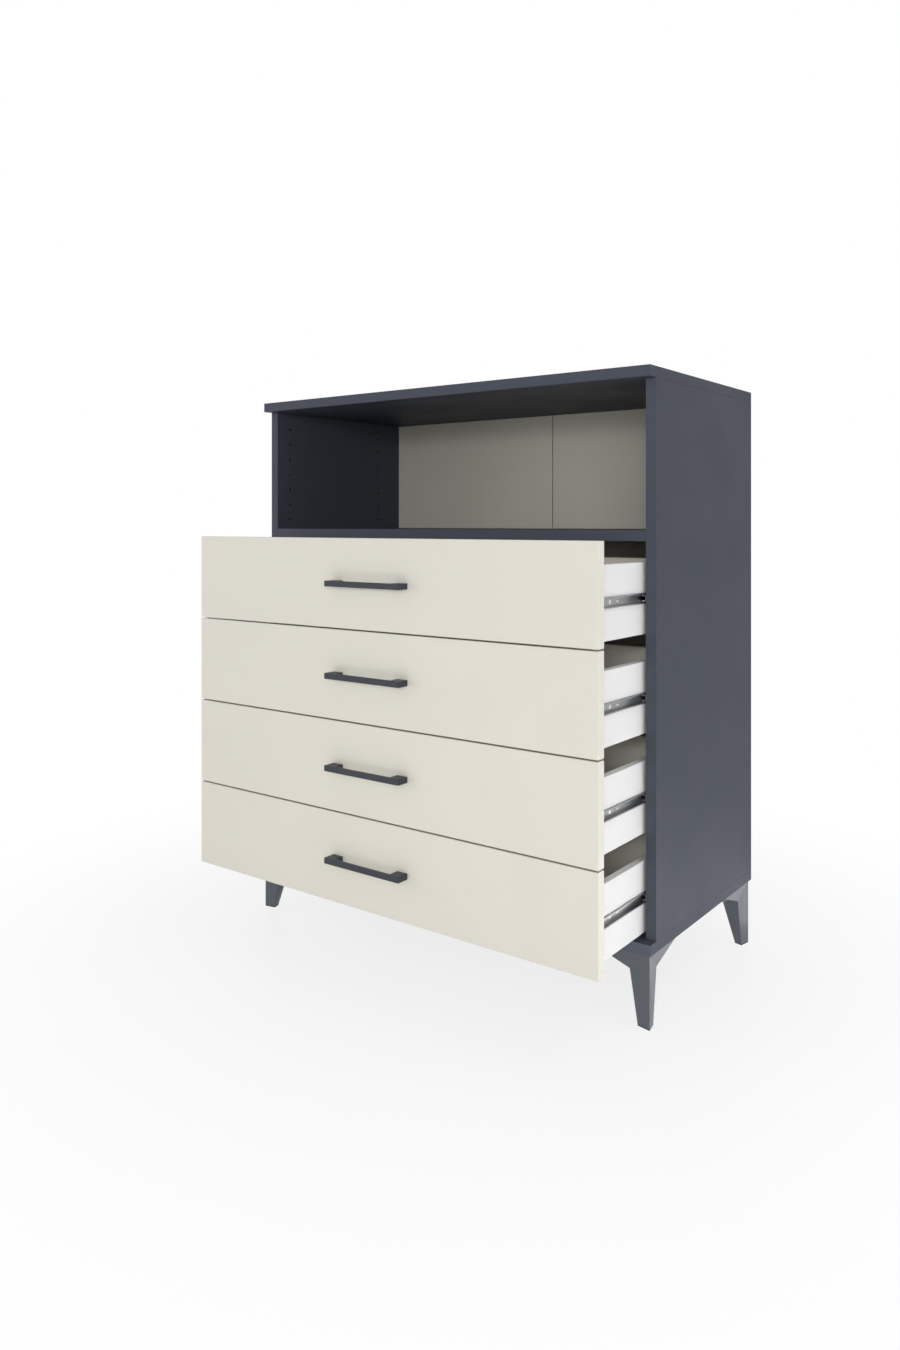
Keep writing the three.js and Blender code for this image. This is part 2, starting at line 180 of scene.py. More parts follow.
# 1 on faces that look along an axis, either way, and 0 on the others
def facing(tree, axis, sharpness=0.9):
    size = mathNode(tree, "ABSOLUTE", faceNormal(tree)[axis])
    return mathNode(tree, "GREATER_THAN", size, sharpness)


# 1 on the walls of bores and grooves, the only faces that lie deeper than a skin inside a side panel's
# bounds, which take the painted shade. The two panels stand opposite each other, so x is taken without
# its sign
def boreShadeMask(tree, skin):
    coordinates = tree.nodes.new("ShaderNodeTexCoord")
    place = splitVector(tree, coordinates.outputs["Object"])
    low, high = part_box("right_side_panel")
    inside = 1.0
    for axis in range(3):
        distance = mathNode(tree, "ABSOLUTE", place[axis]) if axis == 0 else place[axis]
        offset = mathNode(tree, "SUBTRACT", distance, (low[axis] + high[axis]) / 2)
        size = mathNode(tree, "ABSOLUTE", offset)
        within = mathNode(tree, "LESS_THAN", size, (high[axis] - low[axis]) / 2 - skin)
        inside = mathNode(tree, "MULTIPLY", within, inside)
    return inside


# Melamine on chipboard: a printed film with a fine pearl, a little waviness under it, and edge bands.
# The faces that look along a band's axis take its share of the film's colour: the edge bands' own tone
# on the graphite boards, and painted light and shade on the base, the cream fronts and the white boards
def melamine(name, look):
    material, tree, shader = startMaterial(name, look["roughness"], specular=look["specular"])
    fine = noise(tree, look["speckleScale"], look["speckleDetail"])
    broad = noise(tree, look["cloudScale"])
    film = speckled(tree, fine, look["colour"], look["speckle"])
    film = clouded(tree, broad, film, look["cloud"])
    for axis, share in look["bandsAndPaintedLight"].items():
        film = mixColours(tree, facing(tree, axis), film, scaled(look["colour"], share))
    # Painted shade: the walls of bores and grooves take a near-black colour for the shade inside them
    if "bore" in look:
        film = mixColours(tree, boreShadeMask(tree, look["skin"]), film, look["bore"])
    tree.links.new(film, shader.inputs["Base Color"])
    varyRoughness(tree, shader, broad, look)
    grain = mathNode(tree, "MULTIPLY", fine, look["pearl"])
    addBump(tree, shader, mathNode(tree, "ADD", grain, broad), look)
    return material


graphiteLook = {
    "colour": (0.057, 0.0635, 0.083),
    "roughness": 0.5,
    "roughnessShift": (-0.04, 0.04),
    "specular": 0.1,
    "speckleScale": 1400.0,
    "speckleDetail": 3.0,
    "speckle": 0.1,
    "cloudScale": 7.0,
    "cloud": 0.05,
    "bandsAndPaintedLight": {"Y": 1.25},
    "pearl": 0.15,
    "bumpDepth": 0.0001,
    "bumpStrength": 0.6,
}
# Painted light: the base's front and back edges are lighter than the other boards' edge bands, for
# light off the floor
basePaintedLightLook = dict(graphiteLook, bandsAndPaintedLight={"Y": 1.75})
# Painted shade: the side panels' bore and groove walls are near-black, for the shade inside them
boreShadeLook = dict(graphiteLook, bore=(0.012, 0.011, 0.01), skin=0.0003)
# Painted shade and light: the fronts' top and bottom edges are darker, for the shade in the gaps
# between the fronts, and their ends a little lighter
creamLook = dict(graphiteLook, colour=(0.765, 0.737, 0.657), roughness=0.42, specular=0.3,
                 speckle=0.012, cloud=0.02, bandsAndPaintedLight={"X": 1.02, "Z": 0.72})
# Painted shade: the white boards' faces that look up or down are a little darker, for less light on the
# box sides' tops
whiteLook = dict(graphiteLook, colour=(0.85, 0.85, 0.845), roughness=0.48, specular=0.3,
                 speckle=0.012, cloud=0.015, bandsAndPaintedLight={"Z": 0.97})
# The drawer bottoms and backs: a warm board, lighter than the white boards by painted light that lifts
# the shade inside the drawers
linerPaintedLightLook = dict(whiteLook, colour=(0.94, 0.885, 0.81))


# The backs are thin hardboard: a cream print towards the front, and bare brown fibre behind, which is
# rougher by the first roughness shift
backLook = {
    "print": (0.59, 0.565, 0.495),
    "cloudScale": 5.0,
    "cloud": 0.03,
    "fibre": (0.3, 0.185, 0.1),
    "fibreDark": (0.2, 0.12, 0.065),
    "strandScale": 260.0,
    "strandDetail": 4.0,
    "strandStretch": (1, 1, 0.35),
    "fleckScale": 1100.0,
    "fleck": 0.35,
    "fleckBrightness": 1.5,
    "frontFacing": -0.5,
    "roughness": 0.5,
    "roughnessShift": (0.35, 0.0),
    "specular": 0.3,
    "bumpDepth": 0.00015,
    "bumpStrength": 0.5,
}


def hardboard(name, look):
    material, tree, shader = startMaterial(name, look["roughness"], specular=look["specular"])
    strands = noise(tree, look["strandScale"], look["strandDetail"], look["strandStretch"])
    flecks = noise(tree, look["fleckScale"])
    cloud = noise(tree, look["cloudScale"])
    fibre = mixColours(tree, strands, look["fibreDark"], look["fibre"])
    fleck = mathNode(tree, "MULTIPLY", flecks, look["fleck"])
    fibre = mixColours(tree, fleck, fibre, scaled(look["fibre"], look["fleckBrightness"]))
    film = mixColours(tree, cloud, scaled(look["print"], 1 - look["cloud"]), look["print"])
    front = mathNode(tree, "LESS_THAN", faceNormal(tree)["Y"], look["frontFacing"])
    tree.links.new(mixColours(tree, front, fibre, film), shader.inputs["Base Color"])
    varyRoughness(tree, shader, front, look)
    addBump(tree, shader, strands, look)
    return material


# Rolled steel with a zinc coat: fine streaks along the slide and dull patches
zincLook = {
    "colour": (0.36, 0.365, 0.37),
    "roughness": 0.36,
    "roughnessShift": (-0.06, 0.08),
    "detail": 3.0,
    "streakScale": 1500.0,
    "streakStretch": (1, 0.02, 1),
    "streak": 0.2,
    "patchScale": 60.0,
    "patchStretch": (1, 0.3, 1),
    "patch": 0.12,
    "bumpDepth": 0.00004,
    "bumpStrength": 0.5,
}


def rolledZinc(name, look):
    material, tree, shader = startMaterial(name, look["roughness"], metallic=1.0)
    streaks = noise(tree, look["streakScale"], look["detail"], look["streakStretch"])
    patches = noise(tree, look["patchScale"], look["detail"], look["patchStretch"])
    tone = speckled(tree, streaks, look["colour"], look["streak"])
    tone = clouded(tree, patches, tone, look["patch"])
    tree.links.new(tone, shader.inputs["Base Color"])
    varyRoughness(tree, shader, patches, look)
    addBump(tree, shader, streaks, look)
    return material


# Powder coat on the handles and legs: a fine orange peel over a satin grey
handleCoatLook = {
    "colour": (0.047, 0.053, 0.063),
    "specular": 0.18,
    "roughness": 0.42,
    "roughnessShift": (-0.04, 0.05),
    "peelScale": 2600.0,
    "peel": 0.06,
    "cloudScale": 12.0,
    "cloud": 0.06,
    "cloudBrightness": 0.5,
    "bumpDepth": 0.00004,
    "bumpStrength": 0.4,
}
legCoatLook = dict(handleCoatLook, colour=(0.097, 0.107, 0.13), roughness=0.34, specular=0.4,
                   peelScale=1800.0)


def powderCoat(name, look):
    material, tree, shader = startMaterial(name, look["roughness"], specular=look["specular"])
    peel = noise(tree, look["peelScale"])
    cloud = noise(tree, look["cloudScale"])
    tone = speckled(tree, peel, look["colour"], look["peel"])
    shade = mathNode(tree, "MULTIPLY", cloud, look["cloud"])
    tone = mixColours(tree, shade, tone, scaled(look["colour"], look["cloudBrightness"]))
    tree.links.new(tone, shader.inputs["Base Color"])
    varyRoughness(tree, shader, cloud, look)
    addBump(tree, shader, peel, look)
    return material


# Moulded plastic, fibre tape and felt
plasticLook = {
    "colour": (0.018, 0.019, 0.021),
    "specular": 0.4,
    "roughness": 0.5,
    "roughnessShift": (-0.05, 0.05),
    "grainScale": 1500.0,
    "grainDetail": 3.0,
    "grain": 0.15,
    "bumpDepth": 0.00005,
    "bumpStrength": 0.5,
}
tapeLook = dict(plasticLook, colour=(0.6, 0.57, 0.49), roughness=0.55, grainScale=700.0,
                bumpDepth=0.0001)
feltLook = dict(plasticLook, colour=(0.03, 0.03, 0.032), roughness=0.95, grainScale=900.0,
                bumpDepth=0.0003)


def grained(name, look):
    material, tree, shader = startMaterial(name, look["roughness"], specular=look["specular"])
    grain = noise(tree, look["grainScale"], look["grainDetail"])
    tone = speckled(tree, grain, look["colour"], look["grain"])
    tree.links.new(tone, shader.inputs["Base Color"])
    varyRoughness(tree, shader, grain, look)
    addBump(tree, shader, grain, look)
    return material


# Bright steel for screws and balls, a little cloudy
screwLook = {
    "colour": (0.78, 0.78, 0.77),
    "roughness": 0.3,
    "roughnessShift": (-0.05, 0.1),
    "cloudScale": 900.0,
    "cloudDetail": 3.0,
    "cloud": 0.15,
}


def brightSteel(name, look):
    material, tree, shader = startMaterial(name, look["roughness"], metallic=1.0)
    cloud = noise(tree, look["cloudScale"], look["cloudDetail"])
    tone = mixColours(tree, cloud, scaled(look["colour"], 1 - look["cloud"]), look["colour"])
    tree.links.new(tone, shader.inputs["Base Color"])
    varyRoughness(tree, shader, cloud, look)
    return material


graphiteBoard = melamine("graphiteBoard", graphiteLook)
basePaintedLightBoard = melamine("basePaintedLightBoard", basePaintedLightLook)
boreShadeBoard = melamine("boreShadeBoard", boreShadeLook)
creamBoard = melamine("creamBoard", creamLook)
whiteBoard = melamine("whiteBoard", whiteLook)
linerPaintedLightBoard = melamine("linerPaintedLightBoard", linerPaintedLightLook)
backBoard = hardboard("backBoard", backLook)
zincSteel = rolledZinc("zincSteel", zincLook)
handleCoat = powderCoat("handleCoat", handleCoatLook)
legCoat = powderCoat("legCoat", legCoatLook)
cagePlastic = grained("cagePlastic", plasticLook)
backTape = grained("backTape", tapeLook)
glideFelt = grained("glideFelt", feltLook)
screwSteel = brightSteel("screwSteel", screwLook)
print("materials made")


# Each carried-over node gets the finish of its kind, by the first of these endings that its name has
finishByEnding = [
    ("side_panel", boreShadeBoard),
    ("base_panel", basePaintedLightBoard),
    ("panel", graphiteBoard),
    ("shelf", graphiteBoard),
    ("board_left", backBoard),
    ("board_right", backBoard),
    ("seam_strip", backTape),
    ("front", creamBoard),
    ("box_left_side", whiteBoard),
    ("box_right_side", whiteBoard),
    ("box_bottom", linerPaintedLightBoard),
    ("box_back", linerPaintedLightBoard),
    ("member", zincSteel),
    ("ball_cage", cagePlastic),
    ("handle", handleCoat),
    ("leg", legCoat),
]


def dressNodes(finishes):
    for name, thing in nodes.items():
        finish = next(material for ending, material in finishes if name.endswith(ending))
        for slot in thing.material_slots:
            slot.material = finish


dressNodes(finishByEnding)
print("nodes dressed")


# What the mesh helpers share, in metres and degrees
meshSetup = {
    "weld": 0.00001,
    "spunWeld": 0.000001,
    "flatAngle": 0.5,
    "easedAngle": 15.0,
}


# A finished piece keeps its place in its mesh, rides on a body, and may stand for a node
def addPiece(name, form, material, body, replaced=None):
    mesh = bpy.data.meshes.new(name)
    form.to_mesh(mesh)
    form.free()
    mesh.materials.append(material)
    piece = bpy.data.objects.new(name, mesh)
    bpy.context.scene.collection.objects.link(piece)
    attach(piece, body)
    if replaced:
        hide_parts(replaced)


# A node's mesh is loose triangles, so its copy is merged and its flat faces made whole
def copyNode(name):
    form = bmesh.new()
    form.from_mesh(nodes[name].data)
    bmesh.ops.remove_doubles(form, verts=form.verts, dist=meshSetup["weld"])
    bmesh.ops.dissolve_limit(form, angle_limit=math.radians(meshSetup["flatAngle"]),
                             verts=form.verts, edges=form.edges)
    return form


# Rounds every edge that turns by more than the eased angle
def easeEdges(form, radius, segments):
    least = math.radians(meshSetup["easedAngle"])
    sharp = [edge for edge in form.edges if edge.is_manifold and edge.calc_face_angle() > least]
    bmesh.ops.bevel(form, geom=sharp, offset=radius, offset_type="OFFSET", affect="EDGES",
                    segments=segments, profile=0.5, material=-1, clamp_overlap=True)


# Several forms as one mesh, in which each stays a solid of its own
def joinForms(forms):
    whole = bmesh.new()
    for form in forms:
        mesh = bpy.data.meshes.new("joining")
        form.to_mesh(mesh)
        form.free()
        whole.from_mesh(mesh)
        bpy.data.meshes.remove(mesh)
    return whole


def ofKind(items, kind):
    return [item for item in items if isinstance(item, kind)]


# Draws flat faces up along z into a solid, or down where the height is below zero
def drawOut(form, height):
    drawn = bmesh.ops.extrude_face_region(form, geom=list(form.faces))["geom"]
    bmesh.ops.translate(form, verts=ofKind(drawn, bmesh.types.BMVert), vec=(0, 0, height))
    bmesh.ops.recalc_face_normals(form, faces=form.faces)
    return form


# An outline in x and y drawn up along z
def drawnUp(outline, low, high):
    form = bmesh.new()
    form.faces.new([form.verts.new((x, y, low)) for x, y in outline])
    return drawOut(form, high - low)


# A profile of radius and height spun about z
def spun(profile, steps):
    form = bmesh.new()
    corners = [form.verts.new((radius, 0, height)) for radius, height in profile]
    edges = [form.edges.new(pair) for pair in zip(corners, corners[1:])]
    bmesh.ops.spin(form, geom=corners + edges, cent=(0, 0, 0), axis=(0, 0, 1), angle=2 * math.pi,
                   steps=steps, use_merge=True)
    bmesh.ops.remove_doubles(form, verts=form.verts, dist=meshSetup["spunWeld"])
    bmesh.ops.recalc_face_normals(form, faces=form.faces)
    return form


def turnForm(form, degrees, axis):
    turn = Matrix.Rotation(math.radians(degrees), 3, axis)
    bmesh.ops.rotate(form, verts=form.verts, cent=(0, 0, 0), matrix=turn)


# Turns a form made about z to look along a direction, and puts it in its place
def settle(form, place, direction=(0, 0, 1)):
    turn = Vector((0, 0, 1)).rotation_difference(Vector(direction)).to_matrix()
    bmesh.ops.rotate(form, verts=form.verts, cent=(0, 0, 0), matrix=turn)
    bmesh.ops.translate(form, verts=form.verts, vec=place)
    return form


# Draws a ring of edges about z into a band, wider or narrower by a share and lower by a drop
def growRing(form, ring, share, drop):
    grown = bmesh.ops.extrude_edge_only(form, edges=ring)["geom"]
    corners = ofKind(grown, bmesh.types.BMVert)
    bmesh.ops.scale(form, verts=corners, vec=(share, share, 1))
    bmesh.ops.translate(form, verts=corners, vec=(0, 0, -drop))
    edges = ofKind(grown, bmesh.types.BMEdge)
    return [edge for edge in edges if all(corner in corners for corner in edge.verts)]


# A screw head on z = 0 with a cross recess: a cross and a ring are bridged, the cross is narrowed and
# sunk, and the ring is drawn down over the rounded rim
headShape = {
    "sides": 24,
    "arm": 0.3,  # of the width, from the middle to an end of the cross
    "slot": 0.075,  # of the width, half the slot across
    "recessFloor": 0.8,  # of the cross, at its bottom
    "recessDepth": 0.45,  # of the height
    "crown": 0.62,  # of the radius, where the flat top ends
    "rim": [(0.85, 0.18), (1, 0.3), (1, 0.52)],  # each step's reach and drop, of the radius and height
}


def screwHead(width, height, place, direction):
    form = bmesh.new()
    reached = headShape["crown"]
    bmesh.ops.create_circle(form, segments=headShape["sides"], radius=width / 2 * reached)
    ring = list(form.edges)
    arm, slot = width * headShape["arm"], width * headShape["slot"]
    corners = []
    for quarter in range(4):
        turn = Matrix.Rotation(quarter * math.pi / 2, 3, "Z")
        corners += [form.verts.new(turn @ Vector(corner)) for corner in
                    ((arm, -slot, 0), (arm, slot, 0), (slot, slot, 0))]
    cross = [form.edges.new(pair) for pair in zip(corners, corners[1:] + corners[:1])]
    bmesh.ops.bridge_loops(form, edges=ring + cross)
    bmesh.ops.translate(form, verts=form.verts, vec=(0, 0, height))
    floor = growRing(form, cross, headShape["recessFloor"], height * headShape["recessDepth"])
    bmesh.ops.edgeloop_fill(form, edges=floor)
    for reach, drop in headShape["rim"]:
        ring = growRing(form, ring, reach / reached, height * drop)
        reached = reach
    bmesh.ops.edgeloop_fill(form, edges=ring)
    bmesh.ops.recalc_face_normals(form, faces=form.faces)
    return settle(form, place, direction)


# Legs: the moulded shape with its edges eased, a screw boss under each arm, near its tip, and a felt
# pad under the sole
legSetup = {
    "edge": 0.0008,
    "segments": 3,
    "padThickness": 0.0015,
    "padInset": 0.0012,
    "bossFromTip": 0.02,
    "bossFromSide": 0.0145,
    "bossRadius": 0.0058,
    "bossBore": 0.0046,
    "bossSteps": 28,
    "bossLow": 0.1025,  # the height of its lower face
    "bossFloor": 0.1085,  # the height of the end of its bore, where the screw head sits
    "armTop": 0.117,  # the height where it meets the arm
    "screwWidth": 0.0082,
    "screwHeight": 0.0026,
}


# Cuts a leg off level above its pad, closes the cut and returns its face
def trimSole(leg, height):
    whole = list(leg.verts) + list(leg.edges) + list(leg.faces)
    bmesh.ops.bisect_plane(leg, geom=whole, dist=meshSetup["weld"], plane_co=(0, 0, height),
                           plane_no=(0, 0, -1), clear_outer=True)
    cut = [edge for edge in leg.edges if edge.is_boundary]
    soles = bmesh.ops.edgeloop_fill(leg, edges=cut)["faces"]
    bmesh.ops.recalc_face_normals(leg, faces=leg.faces)
    return max(soles, key=lambda face: face.calc_area())


def makePad(sole, setup):
    pad = bmesh.new()
    face = pad.faces.new([pad.verts.new(corner.co) for corner in sole.verts])
    rim = bmesh.ops.inset_region(pad, faces=[face], thickness=setup["padInset"], use_even_offset=True)
    bmesh.ops.delete(pad, geom=rim["faces"], context="FACES")
    return drawOut(pad, -setup["padThickness"])


# A leg's corner is where its arms meet, at the corner of the chest
def bossPlaces(low, high, setup):
    sideX, sideY = (1 if value > 0 else -1 for value in (low.x, low.y))
    tipX, cornerX = (low.x, high.x) if sideX > 0 else (high.x, low.x)
    tipY, cornerY = (low.y, high.y) if sideY > 0 else (high.y, low.y)
    return [
        (tipX + sideX * setup["bossFromTip"], cornerY - sideY * setup["bossFromSide"]),
        (cornerX - sideX * setup["bossFromSide"], tipY + sideY * setup["bossFromTip"]),
    ]


def makeLeg(name, setup):
    leg = copyNode(name)
    sole = trimSole(leg, setup["padThickness"])
    pad = makePad(sole, setup)
    easeEdges(leg, setup["edge"], setup["segments"])
    outer, bore = setup["bossRadius"], setup["bossBore"]
    boss = [(0, setup["armTop"]), (outer, setup["armTop"]), (outer, setup["bossLow"]),
            (bore, setup["bossLow"]), (bore, setup["bossFloor"]), (0, setup["bossFloor"])]
    places = bossPlaces(*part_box(name), setup)
    bosses = [settle(spun(boss, setup["bossSteps"]), (x, y, 0)) for x, y in places]
    screws = [screwHead(setup["screwWidth"], setup["screwHeight"], (x, y, setup["bossFloor"]),
                        (0, 0, -1)) for x, y in places]
    moulding = joinForms([leg] + bosses)
    addPiece(name + "_moulding", moulding, legCoat, "carcass", name)
    addPiece(name + "_screws", joinForms(screws), screwSteel, "carcass")
    addPiece(name + "_pad", pad, glideFelt, "carcass")


for name in nodes:
    if name.endswith("_leg"):
        makeLeg(name, legSetup)
print("legs made")


# Handles: a flat bar between two square feet, its screws running through the drawer front
handleSetup = {
    "barDepth": 0.0054,
    "footWidth": 0.022,
    "edge": 0.0006,
    "segments": 3,
    "screwGap": 0.0002,
    "shankRadius": 0.002,
    "shankSteps": 16,
    "headWidth": 0.0084,
    "headHeight": 0.0026,
}


def makeHandle(drawer, setup):
    low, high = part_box(drawer + "_handle")
    frontLow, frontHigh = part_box(drawer + "_front")
    half = high.x
    foot = half - setup["footWidth"]
    back = frontLow.y - setup["screwGap"]
    barBack = low.y + setup["barDepth"]
    middle = (low.z + high.z) / 2
    outline = [(-half, low.y), (half, low.y), (half, back), (foot, back), (foot, barBack),
               (-foot, barBack), (-foot, back), (-half, back)]
    bar = drawnUp(outline, low.z, high.z)
    easeEdges(bar, setup["edge"], setup["segments"])
    addPiece(drawer + "_handle_bar", bar, handleCoat, drawer, drawer + "_handle")
    screws = []
    radius = setup["shankRadius"]
    shank = [(0, 0), (radius, 0), (radius, frontHigh.y - back), (0, frontHigh.y - back)]
    for side in sides.values():
        x = side * (half - setup["footWidth"] / 2)
        screws.append(settle(spun(shank, setup["shankSteps"]), (x, back, middle), (0, 1, 0)))
        screws.append(screwHead(setup["headWidth"], setup["headHeight"],
                                (x, frontHigh.y + setup["screwGap"], middle), (0, 1, 0)))
    addPiece(drawer + "_handle_screws", joinForms(screws), screwSteel, drawer)


for drawer in drawers:
    makeHandle(drawer, handleSetup)
print("handles made")


# Slides: a bright screw in each round hole of the channels, a tab in each slot, screws along the rails,
# and the cages with their balls
slideSetup = {
    "holeFromFront": 0.065,
    "slotFromHole": 0.024,
    "holeScrewWidth": 0.0092,
    "holeScrewHeight": 0.0014,
    "tabLength": 0.0086,
    "tabHeight": 0.0022,
    "tabThickness": 0.0013,
    "tabSides": 16,
    "sheet": 0.0012,
    "railHoleFromFront": 0.036,
    "railHoleSpacing": 0.096,
    "railHoleCount": 4,
    "railScrewWidth": 0.0066,
    "railScrewHeight": 0.0018,
}
cageSetup = {
    "sheet": 0.0006,
    "arm": 0.005,
    "race": 0.006025,  # from the middle up and down to the rows of balls
    "ballRadius": 0.001125,
    "ballSegments": 12,
    "ballRings": 8,
    "ballFromBack": 0.0036,
    "ballEndInset": 0.006,
    "ballsPerRow": 9,
}


# A flat tab with round ends, made along x and turned to lie along y
def makeTab(setup):
    tab = bmesh.new()
    ring = bmesh.ops.create_circle(tab, cap_ends=True, segments=setup["tabSides"],
                                   radius=setup["tabHeight"] / 2)
    for corner in ring["verts"]:
        corner.co.x += math.copysign((setup["tabLength"] - setup["tabHeight"]) / 2, corner.co.x)
    drawOut(tab, setup["tabThickness"])
    turnForm(tab, 90, "Z")
    return tab


def makeSlide(drawer, label, setup):
    side = sides[label]
    low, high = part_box(f"{drawer}_{label}_slide_drawer_member")
    back = low.x if side > 0 else high.x
    middle = (low.z + high.z) / 2
    holeY = low.y + setup["holeFromFront"]
    screw = screwHead(setup["holeScrewWidth"], setup["holeScrewHeight"], (back, holeY, middle),
                      (side, 0, 0))
    tab = settle(makeTab(setup), (back, holeY + setup["slotFromHole"], middle), (side, 0, 0))
    addPiece(f"{drawer}_{label}_channel_screw", joinForms([screw, tab]), screwSteel, drawer)

    low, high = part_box(f"{drawer}_{label}_slide_cabinet_member")
    web = (high.x if side > 0 else low.x) - side * setup["sheet"]
    firstHole = low.y + setup["railHoleFromFront"]
    screws = [screwHead(setup["railScrewWidth"], setup["railScrewHeight"],
                        (web, firstHole + k * setup["railHoleSpacing"], middle), (-side, 0, 0))
              for k in range(setup["railHoleCount"])]
    addPiece(f"{drawer}_{label}_rail_screws", joinForms(screws), screwSteel, "carcass")


def makeCage(drawer, label, setup):
    side = sides[label]
    node = f"{drawer}_{label}_slide_ball_cage"
    low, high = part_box(node)
    back = low.x if side > 0 else high.x
    middle = (low.z + high.z) / 2
    sheet, arm = setup["sheet"], setup["arm"]
    out = setup["race"] + sheet / 2
    outline = [(0, -out), (arm, -out), (arm, sheet - out), (sheet, sheet - out), (sheet, out - sheet),
               (arm, out - sheet), (arm, out), (0, out)]
    strip = drawnUp([(side * x, -z) for x, z in outline], low.y, high.y)
    turnForm(strip, -90, "X")
    bmesh.ops.translate(strip, verts=strip.verts, vec=(back, 0, middle))
    addPiece(node + "_strip", strip, cagePlastic, drawer + "_cages", node)
    balls = bmesh.new()
    step = (high.y - low.y - 2 * setup["ballEndInset"]) / (setup["ballsPerRow"] - 1)
    for row in (-1, 1):
        for k in range(setup["ballsPerRow"]):
            place = (back + side * setup["ballFromBack"], low.y + setup["ballEndInset"] + k * step,
                     middle + row * setup["race"])
            bmesh.ops.create_uvsphere(balls, u_segments=setup["ballSegments"],
                                      v_segments=setup["ballRings"], radius=setup["ballRadius"],
                                      matrix=Matrix.Translation(place))
    addPiece(node + "_balls", balls, screwSteel, drawer + "_cages")


for drawer in drawers:
    for label in sides:
        makeSlide(drawer, label, slideSetup)
        makeCage(drawer, label, cageSetup)
print("slides finished")


# Joint fittings: cams where the box sides meet the fronts and under the shelf, and screws up through
# the base into the side panels
fittingSetup = {
    "camWidth": 0.015,
    "camHeight": 0.0006,
    "camFromFront": 0.024,
    "camHeights": (0.03, 0.09),
    "shelfCamFromEnd": 0.024,
    "shelfCamDepths": (0.06, 0.33),
    "baseScrewWidth": 0.0095,
    "baseScrewHeight": 0.0009,
    "baseScrewFromSide": 0.009,
    "baseScrewDepths": (0.15, 0.23, 0.31),
}


# Heads under a board, in a row near each end, at these depths from its front edge
def headsUnder(board, width, height, fromEnd, depths):
    low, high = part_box(board)
    return [screwHead(width, height, (side * (high.x - fromEnd), low.y + depth, low.z), (0, 0, -1))
            for side in sides.values() for depth in depths]


def makeFittings(setup):
    for drawer in drawers:
        cams = []
        for label, side in sides.items():
            low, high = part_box(f"{drawer}_box_{label}_side")
            inner = low.x if side > 0 else high.x
            for height in setup["camHeights"]:
                place = (inner, low.y + setup["camFromFront"], low.z + height)
                cams.append(screwHead(setup["camWidth"], setup["camHeight"], place, (-side, 0, 0)))
        addPiece(drawer + "_box_cams", joinForms(cams), screwSteel, drawer)
    cams = headsUnder("fixed_shelf", setup["camWidth"], setup["camHeight"], setup["shelfCamFromEnd"],
                      setup["shelfCamDepths"])
    addPiece("shelf_cams", joinForms(cams), screwSteel, "carcass")
    screws = headsUnder("base_panel", setup["baseScrewWidth"], setup["baseScrewHeight"],
                        setup["baseScrewFromSide"], setup["baseScrewDepths"])
    addPiece("base_screws", joinForms(screws), screwSteel, "carcass")


makeFittings(fittingSetup)
print("fittings made")


# A pale floor that fades into the white behind it, and soft studio light. A lamp's row gives its name
# and place, the point that it faces, its width and height, its watts, and whether it lights matt faces:
# the sheen card doesn't, and shows only in reflections
studio = {
    "floorSize": 60.0,
    "floorColour": (0.86, 0.86, 0.865),
    "floorRoughness": 0.35,
    "floorSpecular": 0.25,
    "floorCloudScale": 1.5,
    "floorCloud": 0.005,
    "floorWhite": 0.8,
    "fadeStart": 0.35,
    "fadeEnd": 1.3,
    "fadeCentre": (0.0, 0.0, 0.0),
    "skyColour": (1.0, 1.0, 1.0),
    "skyLight": 0.43,
    "lamps": [
        ("cameraLamp", (1.9, -2.75, 1.08), (0.1, 0.0, 0.6), (1.2, 0.55), 18.0, True),
        ("highLamp", (1.9, -2.75, 1.6), (0.1, 0.0, 0.6), (1.2, 0.5), 3.6, True),
        ("gapLamp", (1.66, -2.87, 1.3), (0.1, 0.0, 0.6), (0.5, 0.25), 12.9, True),
        ("leftLamp", (-2.6, -2.2, 0.9), (0.0, -0.1, 0.5), (1.6, 1.2), 12.4, True),
        ("topLamp", (0.0, 0.12, 2.7), (0.0, 0.12, 1.0), (0.8, 0.8), 5.0, True),
        ("sideLamp", (3.4, 0.4, 1.4), (0.44, 0.0, 0.5), (2.0, 1.6), 3.0, True),
        ("floorLamp", (1.1, -0.1, 1.6), (1.1, -0.1, 0.0), (0.3, 0.8), 3.0, True),
        ("frontCard", (-0.3, -1.25, 0.1), (-0.3, -0.3, 0.1), (2.0, 0.2), 1.2, True),
        ("sideCard", (1.15, 0.0, 0.06), (0.44, 0.0, 0.1), (0.8, 0.1), 1.9, True),
        ("sheenCard", (0.65, 0.38, 0.003), (0.65, 0.38, 1.0), (0.3, 0.78), 0.98, False),
    ],
}


# 1 for the rays that carry the background into the picture, straight, in reflections or through glass,
# and 0 for those that light the chest
def backgroundRays(tree):
    light = tree.nodes.new("ShaderNodeLightPath")
    seen = mathNode(tree, "MAXIMUM", light.outputs["Is Camera Ray"], light.outputs["Is Glossy Ray"])
    return mathNode(tree, "MAXIMUM", seen, light.outputs["Is Transmission Ray"])


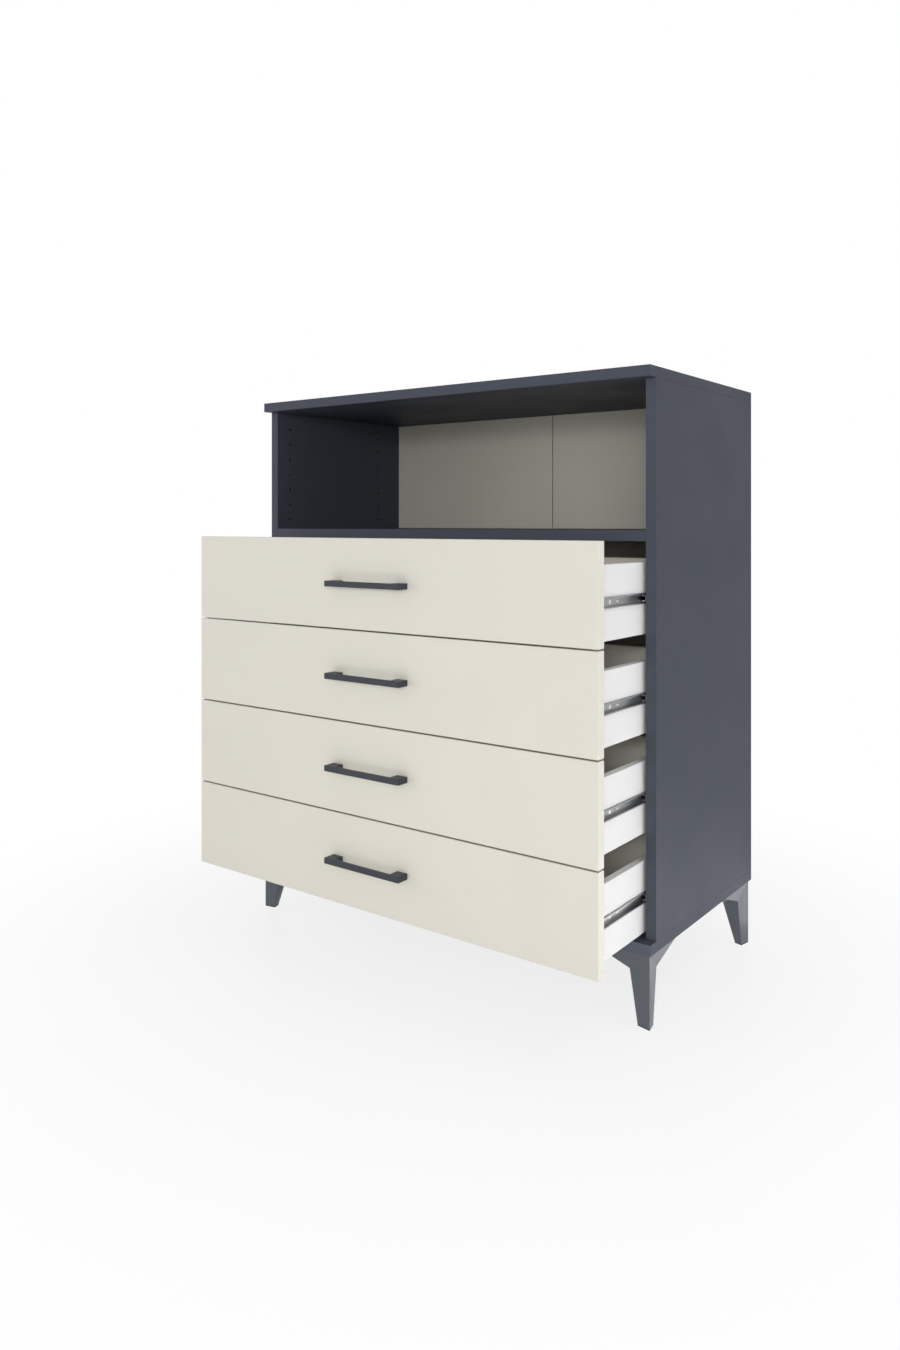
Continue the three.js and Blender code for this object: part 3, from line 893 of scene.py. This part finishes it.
# A floor paint that takes the shadow, mixed in the picture with white: by the floor's share of white
# near the chest, and wholly white from the fade's end on
def floorPaint(look):
    material, tree, shader = startMaterial("floorPaint", look["floorRoughness"],
                                           specular=look["floorSpecular"])
    cloud = noise(tree, look["floorCloudScale"])
    darker = scaled(look["floorColour"], 1 - look["floorCloud"])
    tree.links.new(mixColours(tree, cloud, darker, look["floorColour"]), shader.inputs["Base Color"])
    place = tree.nodes.new("ShaderNodeTexCoord")
    distance = tree.nodes.new("ShaderNodeVectorMath")
    distance.operation = "DISTANCE"
    distance.inputs[1].default_value = look["fadeCentre"]
    tree.links.new(place.outputs["Object"], distance.inputs[0])
    fade = tree.nodes.new("ShaderNodeMapRange")
    fade.interpolation_type = "SMOOTHSTEP"
    fade.inputs["From Min"].default_value = look["fadeStart"]
    fade.inputs["From Max"].default_value = look["fadeEnd"]
    fade.inputs["To Min"].default_value = look["floorWhite"]
    tree.links.new(distance.outputs["Value"], fade.inputs["Value"])
    seen = backgroundRays(tree)
    white = tree.nodes.new("ShaderNodeEmission")
    mix = tree.nodes.new("ShaderNodeMixShader")
    tree.links.new(mathNode(tree, "MULTIPLY", fade.outputs["Result"], seen), mix.inputs[0])
    tree.links.new(shader.outputs[0], mix.inputs[1])
    tree.links.new(white.outputs[0], mix.inputs[2])
    output = next(node for node in tree.nodes if node.type == "OUTPUT_MATERIAL")
    tree.links.new(mix.outputs[0], output.inputs["Surface"])
    return material


def makeFloor(look):
    mesh = bpy.data.meshes.new("floor")
    sheet = bmesh.new()
    bmesh.ops.create_grid(sheet, x_segments=1, y_segments=1, size=look["floorSize"] / 2)
    sheet.to_mesh(mesh)
    sheet.free()
    mesh.materials.append(floorPaint(look))
    floor = bpy.data.objects.new("floor", mesh)
    bpy.context.scene.collection.objects.link(floor)


# A sky that is white to those rays, and dimmer to the rest, which light the chest
def makeSky(look):
    world = bpy.data.worlds.new("studioSky")
    world.use_nodes = True
    bpy.context.scene.world = world
    tree = world.node_tree
    background = tree.nodes["Background"]
    background.inputs["Color"].default_value = (*look["skyColour"], 1.0)
    seen = backgroundRays(tree)
    spread = tree.nodes.new("ShaderNodeMapRange")
    spread.inputs["To Min"].default_value = look["skyLight"]
    spread.inputs["To Max"].default_value = 1.0
    tree.links.new(seen, spread.inputs["Value"])
    tree.links.new(spread.outputs["Result"], background.inputs["Strength"])


def makeLamp(name, place, target, size, power, lightsMatt):
    data = bpy.data.lights.new(name, "AREA")
    data.shape = "RECTANGLE"
    data.size, data.size_y = size
    data.energy = power
    lamp = bpy.data.objects.new(name, data)
    lamp.location = place
    lamp.rotation_euler = (Vector(target) - Vector(place)).to_track_quat("-Z", "Y").to_euler()
    lamp.visible_camera = False
    lamp.visible_diffuse = lightsMatt
    bpy.context.scene.collection.objects.link(lamp)


makeFloor(studio)
makeSky(studio)
for lamp in studio["lamps"]:
    makeLamp(*lamp)
print("studio lit")
